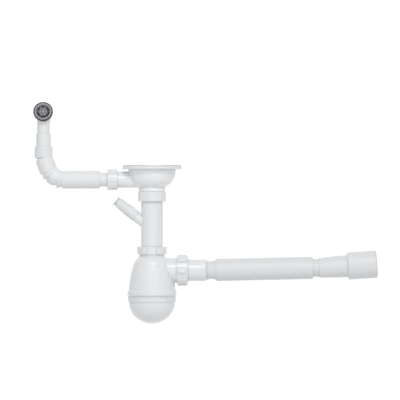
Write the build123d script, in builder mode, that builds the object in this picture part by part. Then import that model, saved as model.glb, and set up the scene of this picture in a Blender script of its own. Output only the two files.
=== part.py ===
"""Bottle trap for a kitchen sink, with a waste bowl, an overflow hose and a flexible outlet hose.

Millimetres, +Z up. The origin is the centre of the gasket's top face, on which the sink's floor lies.
The outlet points along +X, the overflow branch along -X, and the rosette faces -Y.
"""
import os
from math import cos, radians, sin, tan

from build123d import *

os.makedirs("parts", exist_ok=True)

# Fits that several pieces share
pipe_gap = 0.4        # radial room of a pipe in a bore
slide_fit = 0.1       # radial room of a rubber seal on its pipe
fit_gap = 0.3         # room between curved faces that part from each other
thread_gap = 0.3      # radial room between a nut and its thread
seat_gap = 0.1        # room between a piece and the face it is pushed against
press_gap = 0.05      # radial room of a pressed or screwed piece in its hole

# Cone joints: a seal in a flared mouth, pressed by a nut
mouth_depth = 4.5
seal_nose = 2.0
seal_flange = 2.6
ring_height = 1.2
nut_lip = 2.4
nut_edge = 1.0

# Waste bowl
flange_radius = 55.0
flange_height = 4.9
flange_edge = 1.0
gasket_height = 2.0
gasket_inset = 2.0
bowl_radius = 44.0
bowl_side = 10.0
bowl_depth = 32.9
bowl_draft = 1.0
waist_inset = 6.0
waist_drop = 28.6
bowl_wall = 3.0
neck_radius = 24.5
neck_height = 7.6
waste_thread = 23.0
waste_spigot = 13.4
waste_bore = 18.5
waste_flare = 1.3
pipe_seat = 10.0
boss_radius = 7.0
boss_top = 18.0
web_height = 10.0
web_width = 2.6
web_root = 0.6
web_count = 3

# Strainer and its screw
strainer_sheet = 0.8
strainer_lap = 0.3
strainer_gap = 1.0
strainer_taper = 3.5
strainer_depth = 13.0
strainer_hole = 2.4
hole_ring_insets = (6.5, 15.0, 23.5)
hole_ring_counts = (20, 14, 8)
clamp_screw = 3.0
clamp_head = 6.0
clamp_head_height = 2.6
clamp_length = 24.0
clamp_slot = 1.4
insert_radius = 4.6
insert_height = 12.0

# Waste nut
waste_nut_body = 25.6
waste_nut_reach = 26.5
waste_nut_lugs = 6
waste_lug_width = 13.0

# Overflow branch, nut and hose
overflow_drop = 25.8
branch_radius = 15.0
branch_end = 76.3
branch_bore = 11.5
hose_seat = 20.0
overflow_skirt = 13.6
overflow_flare = 0.9
overflow_nut_body = 18.2
overflow_nut_reach = 19.0
overflow_nut_lugs = 8
overflow_lug_width = 6.0
cuff_radius = 13.0
cuff_end = 96.0
hose_wall = 1.3
hose_crest = 16.5
hose_valley = 14.9
hose_pitch = 4.4
run_end = 170.3
lean_low = 55.0
lean_high = 21.0
leg_low = 21.1
leg_high = 30.3
kink_radius = 20.0
kink_room = 2.6
low_rib_share = 0.25
high_rib_share = 0.5
riser_stack = 20.1
riser_cuff_height = 23.0

# Overflow elbow, rosette and screw
spigot_depth = 16.0
elbow_wall = 2.0
head_rise = 36.2
head_tilt = 15.0
head_radius = 14.5
head_back = 19.0
head_front = 10.0
head_round = 3.0
head_rim = 16.4
head_rim_height = 3.0
pad_height = 5.4
pad_bore = 13.9
pad_radius = 16.6
rosette_radius = 17.9
rosette_sheet = 0.8
rosette_skirt = 4.6
rosette_flat = 13.2
rosette_dish = 3.2
rosette_centre = 6.4
slot_ring = 9.8
slot_width = 2.8
slot_arc = 34.0
slot_count = 6
rosette_screw = 2.4
rosette_head = 4.4
rosette_head_height = 2.2
rosette_screw_length = 16.0
elbow_boss = 4.6
elbow_boss_front = 9.0

# Tail pipe and appliance nozzle
pipe_radius = 20.0
pipe_wall = 2.0
pipe_end = 250.0
nozzle_root = 115.6
nozzle_lift = 38.0
stub_radius = 9.7
stub_reach = 37.4
stub_bore = 5.6
tongue_radius = 7.6
tongue_length = 20.0
nozzle_sleeve = 10.5
nozzle_sleeve_length = 22.6
nozzle_radius = 9.6
nozzle_tip = 7.6
nozzle_taper = 6.0
nozzle_length = 43.0
nozzle_bore = 6.0
nozzle_step = 1.0
plug_stem = 5.7
plug_depth = 11.0
plug_neck = 7.3
plug_neck_height = 1.6
plug_disc = 10.6
plug_disc_height = 1.6
plug_wall = 1.4

# Bottle and its nut
bottle_mouth = 154.6
bottle_thread = 22.6
bottle_flare = 1.3
bottle_skirt = 7.8
bottle_nut_body = 25.0
bottle_nut_reach = 27.5
bottle_nut_lugs = 6
lug_width = 8.6
bottle_neck = 23.0
bottle_wall = 3.0
shoulder_top = 165.8
shoulder_mid_inset = 12.7
shoulder_mid_drop = 173.4
shoulder_inset = 8.3
shoulder_drop = 184.4
flank_mid_inset = 3.4
flank_mid_drop = 204.0
flank_inset = 2.0
flank_drop = 228.0
collar_step = 1.8
collar_top = 230.8
collar_bottom = 237.8
collar_edge = 1.2

# Sump cup
sump_thread_height = 9.6
sump_seal_height = 1.2
band_radius = 43.5
band_wall = 3.8
band_height = 10.2
band_groove = 0.9
band_rim = 1.5
band_ribs = 8
band_rib_width = 2.4
dome_inset = 1.2
dome_depth = 40.2
sump_wall = 3.0

# Outlet branch and nut
outlet_drop = 191.5
outlet_thread = 23.0
outlet_flare = 1.3
outlet_mouth = 60.0
outlet_seat = 22.0
outlet_bore = 17.0
outlet_skirt = 14.8
outlet_nut_body = 26.0
outlet_nut_reach = 28.6
outlet_nut_lugs = 8
outlet_nut_edge = 3.6

# Outlet hose: cuff, bellows and stepped end
cuff_wall = 4.2
cuff_pipe_end = 100.0
cuff_taper = 3.0
cuff_lip = 18.6
socket_depth = 15.0
socket_gap = 0.5
bellows_neck = 16.4
bellows_wall = 1.0
bellows_start = 19.5
bellows_ribs = 32
bellows_pitch = 5.47
bellows_crest = 20.5
bellows_valley = 18.6
bellows_shoulder = 18.4
bellows_taper = 5.0
end_neck = 11.4
end_socket = 20.0
end_gap = 0.6
sleeve_lip = 17.8
sleeve_waist = 19.1
sleeve_stop = 15.8
sleeve_cone = 36.0
sleeve_step = 51.0
sleeve_shoulder = 2.5
sleeve_radius = 25.0
sleeve_wall = 2.6
sleeve_length = 55.0
sleeve_edge = 2.2
hose_tilt = 1.25
sleeve_bend = 2.6

# Places worked out from the sizes above
flange_top = -gasket_height
flange_bottom = flange_top - flange_height
gasket_radius = flange_radius - gasket_inset
waist_radius = bowl_radius - waist_inset
strainer_rim = gasket_radius + strainer_lap
strainer_mouth = bowl_radius - bowl_wall - strainer_gap
strainer_floor = strainer_mouth - strainer_taper
neck_top = flange_bottom - bowl_depth
neck_bottom = neck_top - neck_height
spigot_end = neck_bottom - waste_spigot
pipe_top = spigot_end + pipe_seat - seat_gap
pipe_bore = pipe_radius + pipe_gap
run_z = -overflow_drop
spigot_radius = cuff_radius - hose_wall - press_gap
sump_thread = band_radius - band_wall
dome_radius = band_radius - dome_inset
collar_radius = band_radius + collar_step
flank_radius = collar_radius - flank_inset
shoulder_mid = (flank_radius - shoulder_mid_inset, -shoulder_mid_drop)
shoulder_end = (flank_radius - shoulder_inset, -shoulder_drop)
flank_mid = (flank_radius - flank_mid_inset, -flank_mid_drop)
flank_end = (flank_radius, -flank_drop)
sump_top = -collar_bottom - sump_seal_height
band_bottom = sump_top - band_height
ring_lip = seal_flange + ring_height
nozzle_start = stub_reach + seat_gap
nozzle_end = nozzle_start + nozzle_length
bellows_end = bellows_start + bellows_ribs * bellows_pitch
sleeve_start = bellows_end + end_neck


def along(origin, direction, side):
    """Plane whose x axis runs along a joint's axis and whose y axis points out from it."""
    normal = Vector(direction).cross(Vector(side))
    return Plane(origin=origin, x_dir=direction, z_dir=normal)


def turn(plane, points, mode=Mode.ADD):
    """Turn a half section of (distance along the axis, radius) points about the plane's x axis."""
    with BuildSketch(plane) as section:
        with BuildLine():
            Polyline(*points, close=True)
        make_face()
    revolve(section.sketch, axis=Axis(plane.origin, plane.x_dir), mode=mode)


def tube(plane, start, end, inner, outer, mode=Mode.ADD):
    """Turn a straight tube between two distances along the axis."""
    turn(plane, [(start, inner), (end, inner), (end, outer), (start, outer)], mode)


def bore(plane, start, end, radius):
    """Cut a round hole between two distances along the axis."""
    tube(plane, start, end, 0, radius, Mode.SUBTRACT)


def across(plane, distance):
    """Plane square to a joint's axis, at a distance along it."""
    return Plane(plane.origin + plane.x_dir * distance, x_dir=plane.y_dir, z_dir=plane.x_dir)


def lugs(plane, count, start, end, reach, width):
    """Add straight lugs around an axis, from the axis out to their reach."""
    with BuildSketch(across(plane, start)) as section:
        with PolarLocations(reach / 2, count):
            Rectangle(reach, width)
    extrude(section.sketch, amount=end - start)


def flared_mouth(plane, radius, flare):
    """Cut the flared mouth that a cone seal is pressed into."""
    points = [(-mouth_depth, 0), (0, 0), (0, radius + flare), (-mouth_depth, radius)]
    turn(plane, points, Mode.SUBTRACT)


def cone_seal(plane, pipe, flare, thread):
    """Turn a cone seal: a nose in the flared mouth and a flange outside it."""
    inner = pipe + slide_fit
    rim = thread - fit_gap
    root = pipe + pipe_gap + flare - fit_gap
    nose = root - flare * seal_nose / mouth_depth
    points = [
        (-seal_nose, inner),
        (seal_flange, inner),
        (seal_flange, rim),
        (seat_gap, rim),
        (seat_gap, root),
        (-seal_nose, nose),
    ]
    turn(plane, points)


def slip_ring(plane, pipe, thread):
    """Turn the plastic ring between a cone seal and its nut."""
    tube(plane, seal_flange, ring_lip, pipe + fit_gap, thread - fit_gap)


def union_nut(plane, skirt, lip, pipe, thread, body, reach, count, width, edge):
    """Build a union nut: lugs trimmed to a chamfered outline, a round body, a thread hole and a lip."""
    end = lip + nut_lip
    lugs(plane, count, -skirt, end, reach + edge, width)
    outline = [
        (-skirt, 0),
        (end, 0),
        (end, reach - edge),
        (end - edge, reach),
        (edge - skirt, reach),
        (-skirt, reach - edge),
    ]
    turn(plane, outline, Mode.INTERSECT)
    turn(plane, [(-skirt, 0), (end, 0), (end, body - nut_edge), (end - nut_edge, body), (-skirt, body)])
    bore(plane, -skirt, lip, thread + thread_gap)
    bore(plane, lip, end, pipe + pipe_gap)


def ribs(start, count, pitch, crest, valley):
    """Points of a row of pointed ribs along an axis, from valley to valley."""
    points = [(start, valley)]
    for index in range(count):
        points.append((start + (index + 0.5) * pitch, crest))
        points.append((start + (index + 1) * pitch, valley))
    return points


def rib_stack(origin, direction, length):
    """Add a straight stack of hose ribs, as many as the pitch fits into its length."""
    count = max(1, round(length / hose_pitch))
    points = ribs(0, count, length / count, hose_crest, hose_valley)
    turn(along(origin, direction, (0, 1, 0)), [(0, 0)] + points + [(length, 0)])


# Frames of the joints: the x axis points the way each nut or cap comes off
down = along((0, 0, 0), (0, 0, -1), (1, 0, 0))
waste_frame = along((0, 0, spigot_end), (0, 0, -1), (0, 1, 0))
bottle_frame = along((0, 0, -bottle_mouth), (0, 0, 1), (1, 0, 0))
sump_frame = along((0, 0, sump_top), (0, 0, -1), (1, 0, 0))
outlet_frame = along((outlet_mouth, 0, -outlet_drop), (1, 0, 0), (0, 0, 1))
overflow_frame = along((-branch_end, 0, run_z), (-1, 0, 0), (0, 0, 1))
nozzle_way = Vector(-cos(radians(nozzle_lift)), 0, sin(radians(nozzle_lift)))
nozzle_frame = along((0, 0, -nozzle_root), nozzle_way, (0, 1, 0))
hose_way = Vector(cos(radians(hose_tilt)), 0, sin(radians(hose_tilt)))
hose_frame = along((cuff_pipe_end, 0, -outlet_drop), hose_way, (0, 1, 0))
sleeve_tilt = radians(hose_tilt + sleeve_bend)
sleeve_way = Vector(cos(sleeve_tilt), 0, sin(sleeve_tilt))
socket_middle = sleeve_start + end_socket / 2
sleeve_frame = along(hose_frame.origin + (hose_way - sleeve_way) * socket_middle, sleeve_way, (0, 1, 0))

# Waste cup: bowl, flange, threaded spigot, overflow branch and the boss for the clamp screw
side_end = flange_bottom - bowl_side
with BuildPart() as waste_cup:
    with BuildSketch(Plane.XZ):
        with BuildLine():
            Polyline(
                (neck_radius, neck_top),
                (neck_radius, neck_bottom),
                (waste_thread, neck_bottom),
                (waste_thread, spigot_end),
                (0, spigot_end),
                (0, flange_top),
                (flange_radius - flange_edge, flange_top),
                (flange_radius, flange_top - flange_edge),
                (flange_radius, flange_bottom + flange_edge),
                (flange_radius - flange_edge, flange_bottom),
                (bowl_radius, flange_bottom),
                (bowl_radius - bowl_draft, side_end),
            )
            ThreePointArc(
                (bowl_radius - bowl_draft, side_end),
                (waist_radius, -waist_drop),
                (neck_radius, neck_top),
            )
        make_face()
    revolve(axis=Axis.Z)
    tube(overflow_frame, -branch_end, 0, 0, branch_radius)
    inner_side = bowl_radius - bowl_draft - bowl_wall
    waist_shift = bowl_wall * cos(radians(45))
    with BuildSketch(Plane.XZ):
        with BuildLine():
            Polyline(
                (neck_radius, neck_top + bowl_wall),
                (0, neck_top + bowl_wall),
                (0, flange_top),
                (bowl_radius - bowl_wall, flange_top),
                (inner_side, side_end),
            )
            ThreePointArc(
                (inner_side, side_end),
                (waist_radius - waist_shift, waist_shift - waist_drop),
                (neck_radius, neck_top + bowl_wall),
            )
        make_face()
    revolve(axis=Axis.Z, mode=Mode.SUBTRACT)
    bore(down, -neck_top - bowl_wall, -spigot_end, waste_bore)
    bore(waste_frame, -pipe_seat, 0, pipe_bore)
    flared_mouth(waste_frame, pipe_bore, waste_flare)
    bore(overflow_frame, -branch_end, 0, branch_bore)
    bore(overflow_frame, -hose_seat, 0, cuff_radius + pipe_gap)
    flared_mouth(overflow_frame, cuff_radius + pipe_gap, overflow_flare)
    lugs(down, web_count, -neck_top, web_height - neck_top, waste_bore + web_root, web_width)
    tube(down, boss_top, web_height - neck_top, 0, boss_radius)
    bore(down, boss_top, boss_top + insert_height, insert_radius + press_gap)
    bore(down, boss_top, strainer_depth + clamp_length + pipe_gap, clamp_screw + pipe_gap)
waste_cup.part.label = "waste_cup"
export_step(waste_cup.part, "parts/waste_cup.step")

# Gasket between the flange and the sink
with BuildPart() as flange_gasket:
    tube(down, 0, gasket_height, bowl_radius - bowl_wall, gasket_radius)
flange_gasket.part.label = "flange_gasket"
export_step(flange_gasket.part, "parts/flange_gasket.step")

# Strainer: a steel dish with a flat rim and rings of holes in its floor
with BuildPart() as strainer:
    strainer_section = [
        (0, strainer_rim),
        (-strainer_sheet, strainer_rim),
        (-strainer_sheet, strainer_mouth - strainer_sheet),
        (strainer_depth - strainer_sheet, strainer_floor - strainer_sheet),
        (strainer_depth - strainer_sheet, clamp_screw + pipe_gap),
        (strainer_depth, clamp_screw + pipe_gap),
        (strainer_depth, strainer_floor),
        (0, strainer_mouth),
    ]
    turn(down, strainer_section)
    with BuildSketch(Plane.XY.offset(-strainer_depth)):
        for inset, hole_count in zip(hole_ring_insets, hole_ring_counts):
            with PolarLocations(strainer_floor - inset, hole_count):
                Circle(strainer_hole)
    extrude(amount=strainer_sheet, mode=Mode.SUBTRACT)
strainer.part.label = "strainer"
export_step(strainer.part, "parts/strainer.step")

# Screw that draws the strainer down, and the brass nut it turns in
screw_seat = strainer_depth - strainer_sheet
with BuildPart() as strainer_screw:
    tube(down, screw_seat - clamp_head_height, screw_seat, 0, clamp_head)
    tube(down, screw_seat, strainer_depth + clamp_length, 0, clamp_screw)
    with BuildSketch(Plane.XY.offset(clamp_head_height - screw_seat)):
        Rectangle(2 * clamp_head, clamp_slot)
    extrude(amount=-clamp_slot, mode=Mode.SUBTRACT)
strainer_screw.part.label = "strainer_screw"
export_step(strainer_screw.part, "parts/strainer_screw.step")

with BuildPart() as clamp_insert:
    tube(down, boss_top, boss_top + insert_height, clamp_screw + press_gap, insert_radius)
clamp_insert.part.label = "clamp_insert"
export_step(clamp_insert.part, "parts/clamp_insert.step")

# Joint under the bowl
with BuildPart() as waste_seal:
    cone_seal(waste_frame, pipe_radius, waste_flare, waste_thread)
waste_seal.part.label = "waste_seal"
export_step(waste_seal.part, "parts/waste_seal.step")

with BuildPart() as waste_nut:
    union_nut(waste_frame, waste_spigot - fit_gap, seal_flange, pipe_radius, waste_thread,
              waste_nut_body, waste_nut_reach, waste_nut_lugs, waste_lug_width, nut_edge)
waste_nut.part.label = "waste_nut"
export_step(waste_nut.part, "parts/waste_nut.step")

# Tail pipe with the stub of the appliance branch
with BuildPart() as tail_pipe:
    tube(down, -pipe_top, pipe_end, 0, pipe_radius)
    tube(nozzle_frame, 0, stub_reach, 0, stub_radius)
    tube(nozzle_frame, stub_reach, stub_reach + tongue_length, 0, tongue_radius)
    bore(down, -pipe_top, pipe_end, pipe_radius - pipe_wall)
    bore(nozzle_frame, 0, stub_reach + tongue_length, stub_bore)
tail_pipe.part.label = "tail_pipe"
export_step(tail_pipe.part, "parts/tail_pipe.step")

# Nozzle pushed on the stub, and the plug in its mouth
with BuildPart() as appliance_nozzle:
    step_end = nozzle_start + nozzle_sleeve_length
    nozzle_section = [
        (nozzle_start, 0),
        (nozzle_start, nozzle_sleeve),
        (step_end - nozzle_step, nozzle_sleeve),
        (step_end, nozzle_radius),
        (nozzle_end - nozzle_taper, nozzle_radius),
        (nozzle_end, nozzle_tip),
        (nozzle_end, 0),
    ]
    turn(nozzle_frame, nozzle_section)
    bore(nozzle_frame, nozzle_start, stub_reach + tongue_length + seat_gap, tongue_radius + press_gap)
    bore(nozzle_frame, nozzle_start, nozzle_end, nozzle_bore)
appliance_nozzle.part.label = "appliance_nozzle"
export_step(appliance_nozzle.part, "parts/appliance_nozzle.step")

with BuildPart() as appliance_plug:
    neck_start = nozzle_end + seat_gap
    disc_start = neck_start + plug_neck_height
    tube(nozzle_frame, disc_start, disc_start + plug_disc_height, 0, plug_disc)
    tube(nozzle_frame, neck_start, disc_start, 0, plug_neck)
    tube(nozzle_frame, nozzle_end - plug_depth, neck_start, 0, plug_stem)
    bore(nozzle_frame, nozzle_end - plug_depth, neck_start, plug_stem - plug_wall)
appliance_plug.part.label = "appliance_plug"
export_step(appliance_plug.part, "parts/appliance_plug.step")

# Bottle: threaded neck, shoulder, flank, collar, thread of the sump cup and outlet branch
with BuildPart() as bottle_body:
    with BuildSketch(Plane.XZ):
        with BuildLine():
            ThreePointArc((bottle_neck, -shoulder_top), shoulder_mid, shoulder_end)
            ThreePointArc(shoulder_end, flank_mid, flank_end)
            Polyline(
                flank_end,
                (collar_radius, -collar_top),
                (collar_radius, collar_edge - collar_bottom),
                (collar_radius - collar_edge, -collar_bottom),
                (sump_thread, -collar_bottom),
                (sump_thread, -collar_bottom - sump_thread_height),
                (0, -collar_bottom - sump_thread_height),
                (0, -bottle_mouth),
                (bottle_thread, -bottle_mouth),
                (bottle_thread, -bottle_mouth - bottle_skirt - fit_gap),
                (bottle_neck, -bottle_mouth - bottle_skirt - fit_gap),
                (bottle_neck, -shoulder_top),
            )
        make_face()
    revolve(axis=Axis.Z)
    tube(outlet_frame, -outlet_mouth, 0, 0, outlet_thread)
    inner_shift = bottle_wall * cos(radians(45))
    inner_shoulder = (shoulder_end[0] - bottle_wall, shoulder_end[1])
    inner_flank = (flank_end[0] - bottle_wall, flank_end[1])
    with BuildSketch(Plane.XZ):
        with BuildLine():
            ThreePointArc(
                (pipe_bore, -shoulder_top - bottle_wall),
                (shoulder_mid[0] - inner_shift, shoulder_mid[1] - inner_shift),
                inner_shoulder,
            )
            ThreePointArc(inner_shoulder, (flank_mid[0] - bottle_wall, flank_mid[1]), inner_flank)
            Polyline(
                inner_flank,
                (sump_thread - bottle_wall, -collar_bottom),
                (sump_thread - bottle_wall, -collar_bottom - sump_thread_height),
                (0, -collar_bottom - sump_thread_height),
                (0, -bottle_mouth),
                (pipe_bore, -bottle_mouth),
                (pipe_bore, -shoulder_top - bottle_wall),
            )
        make_face()
    revolve(axis=Axis.Z, mode=Mode.SUBTRACT)
    flared_mouth(bottle_frame, pipe_bore, bottle_flare)
    bore(outlet_frame, -outlet_mouth, 0, outlet_bore)
    bore(outlet_frame, -outlet_seat, 0, pipe_bore)
    flared_mouth(outlet_frame, pipe_bore, outlet_flare)
bottle_body.part.label = "bottle_body"
export_step(bottle_body.part, "parts/bottle_body.step")

# Joint between the tail pipe and the bottle
with BuildPart() as bottle_seal:
    cone_seal(bottle_frame, pipe_radius, bottle_flare, bottle_thread)
bottle_seal.part.label = "bottle_seal"
export_step(bottle_seal.part, "parts/bottle_seal.step")

with BuildPart() as bottle_slip_ring:
    slip_ring(bottle_frame, pipe_radius, bottle_thread)
bottle_slip_ring.part.label = "bottle_slip_ring"
export_step(bottle_slip_ring.part, "parts/bottle_slip_ring.step")

with BuildPart() as bottle_nut:
    union_nut(bottle_frame, bottle_skirt, ring_lip, pipe_radius, bottle_thread,
              bottle_nut_body, bottle_nut_reach, bottle_nut_lugs, lug_width, nut_edge)
bottle_nut.part.label = "bottle_nut"
export_step(bottle_nut.part, "parts/bottle_nut.step")

# Sump cup with its panelled band, and the flat seal above it
with BuildPart() as sump_seal:
    tube(sump_frame, -sump_seal_height, 0, sump_thread + pipe_gap, band_radius - band_groove)
sump_seal.part.label = "sump_seal"
export_step(sump_seal.part, "parts/sump_seal.step")

with BuildPart() as sump_cup:
    with BuildSketch(Plane.XZ):
        with BuildLine():
            Polyline(
                (0, band_bottom - dome_depth),
                (0, sump_top),
                (band_radius, sump_top),
                (band_radius, sump_top - band_rim),
                (band_radius - band_groove, sump_top - band_rim),
                (band_radius - band_groove, band_bottom + band_rim),
                (band_radius, band_bottom + band_rim),
                (band_radius, band_bottom),
                (dome_radius, band_bottom),
            )
            EllipticalCenterArc((0, band_bottom), dome_radius, dome_depth, start_angle=270, arc_size=90)
        make_face()
    revolve(axis=Axis.Z)
    lugs(sump_frame, band_ribs, band_rim, band_height - band_rim, band_radius, band_rib_width)
    inner_dome = dome_radius - sump_wall
    thread_end = sump_top + sump_seal_height - sump_thread_height - pipe_gap
    with BuildSketch(Plane.XZ):
        with BuildLine():
            Polyline(
                (0, band_bottom - dome_depth + sump_wall),
                (0, sump_top),
                (sump_thread + pipe_gap, sump_top),
                (sump_thread + pipe_gap, thread_end),
                (inner_dome, thread_end),
                (inner_dome, band_bottom),
            )
            EllipticalCenterArc((0, band_bottom), inner_dome, dome_depth - sump_wall,
                                start_angle=270, arc_size=90)
        make_face()
    revolve(axis=Axis.Z, mode=Mode.SUBTRACT)
sump_cup.part.label = "sump_cup"
export_step(sump_cup.part, "parts/sump_cup.step")

# Joint between the outlet branch and the hose's cuff
with BuildPart() as outlet_seal:
    cone_seal(outlet_frame, pipe_radius, outlet_flare, outlet_thread)
outlet_seal.part.label = "outlet_seal"
export_step(outlet_seal.part, "parts/outlet_seal.step")

with BuildPart() as outlet_slip_ring:
    slip_ring(outlet_frame, pipe_radius, outlet_thread)
outlet_slip_ring.part.label = "outlet_slip_ring"
export_step(outlet_slip_ring.part, "parts/outlet_slip_ring.step")

with BuildPart() as outlet_nut:
    union_nut(outlet_frame, outlet_skirt, ring_lip, pipe_radius, outlet_thread,
              outlet_nut_body, outlet_nut_reach, outlet_nut_lugs, lug_width, outlet_nut_edge)
outlet_nut.part.label = "outlet_nut"
export_step(outlet_nut.part, "parts/outlet_nut.step")

# Smooth cuff of the outlet hose
cuff_length = cuff_pipe_end - outlet_mouth
with BuildPart() as outlet_cuff:
    cuff_section = [
        (seat_gap - outlet_seat, pipe_radius - cuff_wall),
        (cuff_length - socket_depth, pipe_radius - cuff_wall),
        (cuff_length - socket_depth, bellows_neck + socket_gap),
        (cuff_length, bellows_neck + socket_gap),
        (cuff_length, cuff_lip),
        (cuff_length - cuff_taper, pipe_radius),
        (seat_gap - outlet_seat, pipe_radius),
    ]
    turn(outlet_frame, cuff_section)
outlet_cuff.part.label = "outlet_cuff"
export_step(outlet_cuff.part, "parts/outlet_cuff.step")

# Corrugated outlet hose with a plain neck at each end
with BuildPart() as outlet_bellows:
    outside = ribs(bellows_start, bellows_ribs, bellows_pitch, bellows_crest, bellows_valley)
    inside = ribs(bellows_start, bellows_ribs, bellows_pitch,
                  bellows_crest - bellows_wall, bellows_valley - bellows_wall)
    near_end = fit_gap - socket_depth + bellows_neck * sin(radians(hose_tilt))
    far_end = sleeve_start + end_socket - fit_gap - bellows_neck * sin(radians(sleeve_bend))
    shoulder_start = fit_gap + bellows_shoulder * sin(radians(hose_tilt))
    bellows_section = [
        (near_end, bellows_neck - bellows_wall),
        (near_end, bellows_neck),
        (shoulder_start, bellows_neck),
        (shoulder_start, bellows_shoulder),
        (bellows_taper, bellows_neck),
        (bellows_start, bellows_neck),
    ]
    bellows_section += outside[1:-1]
    bellows_section += [
        (bellows_end, bellows_neck),
        (far_end, bellows_neck),
        (far_end, bellows_neck - bellows_wall),
        (bellows_end, bellows_neck - bellows_wall),
    ]
    bellows_section += reversed(inside[1:-1])
    bellows_section += [(bellows_start, bellows_neck - bellows_wall)]
    turn(hose_frame, bellows_section)
outlet_bellows.part.label = "outlet_bellows"
export_step(outlet_bellows.part, "parts/outlet_bellows.step")

# Stepped end of the outlet hose: a socket for the neck, a cuff and a wide sleeve
step_at = sleeve_start + sleeve_step
sleeve_end = step_at + sleeve_length
with BuildPart() as outlet_sleeve:
    sleeve_section = [
        (sleeve_start, sleeve_lip),
        (sleeve_start + end_socket, sleeve_waist),
        (sleeve_start + sleeve_cone, pipe_radius),
        (step_at, pipe_radius),
        (step_at + sleeve_shoulder, sleeve_radius),
        (sleeve_end - sleeve_edge, sleeve_radius),
        (sleeve_end, sleeve_radius - sleeve_edge),
        (sleeve_end, sleeve_radius - sleeve_wall),
        (step_at + sleeve_shoulder + sleeve_wall, sleeve_radius - sleeve_wall),
        (step_at + sleeve_wall, sleeve_stop),
        (sleeve_start + end_socket, sleeve_stop),
        (sleeve_start + end_socket, bellows_neck + end_gap),
        (sleeve_start, bellows_neck + end_gap),
    ]
    turn(sleeve_frame, sleeve_section)
outlet_sleeve.part.label = "outlet_sleeve"
export_step(outlet_sleeve.part, "parts/outlet_sleeve.step")

# Joint between the overflow branch and its hose
with BuildPart() as overflow_seal:
    cone_seal(overflow_frame, cuff_radius, overflow_flare, branch_radius)
overflow_seal.part.label = "overflow_seal"
export_step(overflow_seal.part, "parts/overflow_seal.step")

with BuildPart() as overflow_nut:
    union_nut(overflow_frame, overflow_skirt, seal_flange, cuff_radius, branch_radius,
              overflow_nut_body, overflow_nut_reach, overflow_nut_lugs, overflow_lug_width, nut_edge)
overflow_nut.part.label = "overflow_nut"
export_step(overflow_nut.part, "parts/overflow_nut.step")

# Overflow hose: a level run, two short legs and a riser, with the ribs open at the kinks between them
low_way = Vector(-sin(radians(lean_low)), 0, cos(radians(lean_low)))
high_way = Vector(-sin(radians(lean_high)), 0, cos(radians(lean_high)))
run_way = Vector(-1, 0, 0)
rise_way = Vector(0, 0, 1)
run_kink = Vector(-run_end, 0, run_z)
low_kink = run_kink + low_way * leg_low
high_kink = low_kink + high_way * leg_high
hose_start = Vector(hose_seat - branch_end - seat_gap, 0, run_z)
stack_top = high_kink + rise_way * riser_stack
hose_top = stack_top + rise_way * riser_cuff_height
run_back = hose_crest * tan(radians(90 - lean_low) / 2)
low_back = hose_crest * tan(radians(lean_low - lean_high) / 2)
high_back = hose_crest * tan(radians(lean_high) / 2)
with BuildPart() as overflow_hose:
    with BuildLine() as hose_path:
        FilletPolyline(hose_start, run_kink, low_kink, high_kink, hose_top, radius=kink_radius)
    with BuildSketch(Plane(hose_start, z_dir=run_way)) as core:
        Circle(cuff_radius)
    sweep(core.sketch, path=hose_path.line)
    rib_stack(Vector(-cuff_end, 0, run_z), run_way, run_end - cuff_end - run_back - kink_room)
    rib_stack(run_kink + low_way * run_back, low_way, leg_low - run_back - low_back)
    rib_stack(low_kink + high_way * low_back, high_way, leg_high - low_back - high_back)
    rib_stack(high_kink, rise_way, riser_stack)
    open_ribs = (
        (run_kink, run_way, low_way, low_rib_share),
        (low_kink, low_way, high_way, high_rib_share),
    )
    for kink, before, after, share in open_ribs:
        rib_way = (before * (1 - share) + after * share).normalized()
        rib_stack(kink - rib_way * (hose_pitch / 2), rib_way, hose_pitch)
    with BuildSketch(Plane(hose_start, z_dir=run_way)) as hollow:
        Circle(cuff_radius - hose_wall)
    sweep(hollow.sketch, path=hose_path.line, mode=Mode.SUBTRACT)
overflow_hose.part.label = "overflow_hose"
export_step(overflow_hose.part, "parts/overflow_hose.step")

# Overflow elbow: spigot in the top of the riser, round head and the boss for the rosette's screw
spigot_frame = along(hose_top, rise_way, (1, 0, 0))
head_centre = hose_top + rise_way * head_rise
head_way = Vector(0, -cos(radians(head_tilt)), sin(radians(head_tilt)))
head_frame = along(head_centre, head_way, (1, 0, 0))
rim_front = head_front + head_rim_height
with BuildPart() as overflow_elbow:
    tube(spigot_frame, seat_gap - spigot_depth, head_rise, 0, spigot_radius)
    head_section = [
        (-head_back, 0),
        (-head_back, head_radius - head_round),
        (head_round - head_back, head_radius),
        (head_front, head_radius),
        (head_front, head_rim),
        (rim_front, head_rim),
        (rim_front, 0),
    ]
    turn(head_frame, head_section)
    bore(spigot_frame, seat_gap - spigot_depth, head_rise, spigot_radius - elbow_wall)
    bore(head_frame, elbow_wall - head_back, rim_front, head_radius - elbow_wall)
    tube(head_frame, -head_back, elbow_boss_front, 0, elbow_boss)
    boss_hole = rim_front + pad_height - rosette_dish - rosette_screw_length
    bore(head_frame, boss_hole, elbow_boss_front, rosette_screw + press_gap)
overflow_elbow.part.label = "overflow_elbow"
export_step(overflow_elbow.part, "parts/overflow_elbow.step")

# Rubber pad, steel rosette and screw in front of the elbow
pad_front = rim_front + pad_height
face = pad_front + rosette_sheet
with BuildPart() as overflow_gasket:
    tube(head_frame, rim_front, pad_front, pad_bore, pad_radius)
overflow_gasket.part.label = "overflow_gasket"
export_step(overflow_gasket.part, "parts/overflow_gasket.step")

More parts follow.
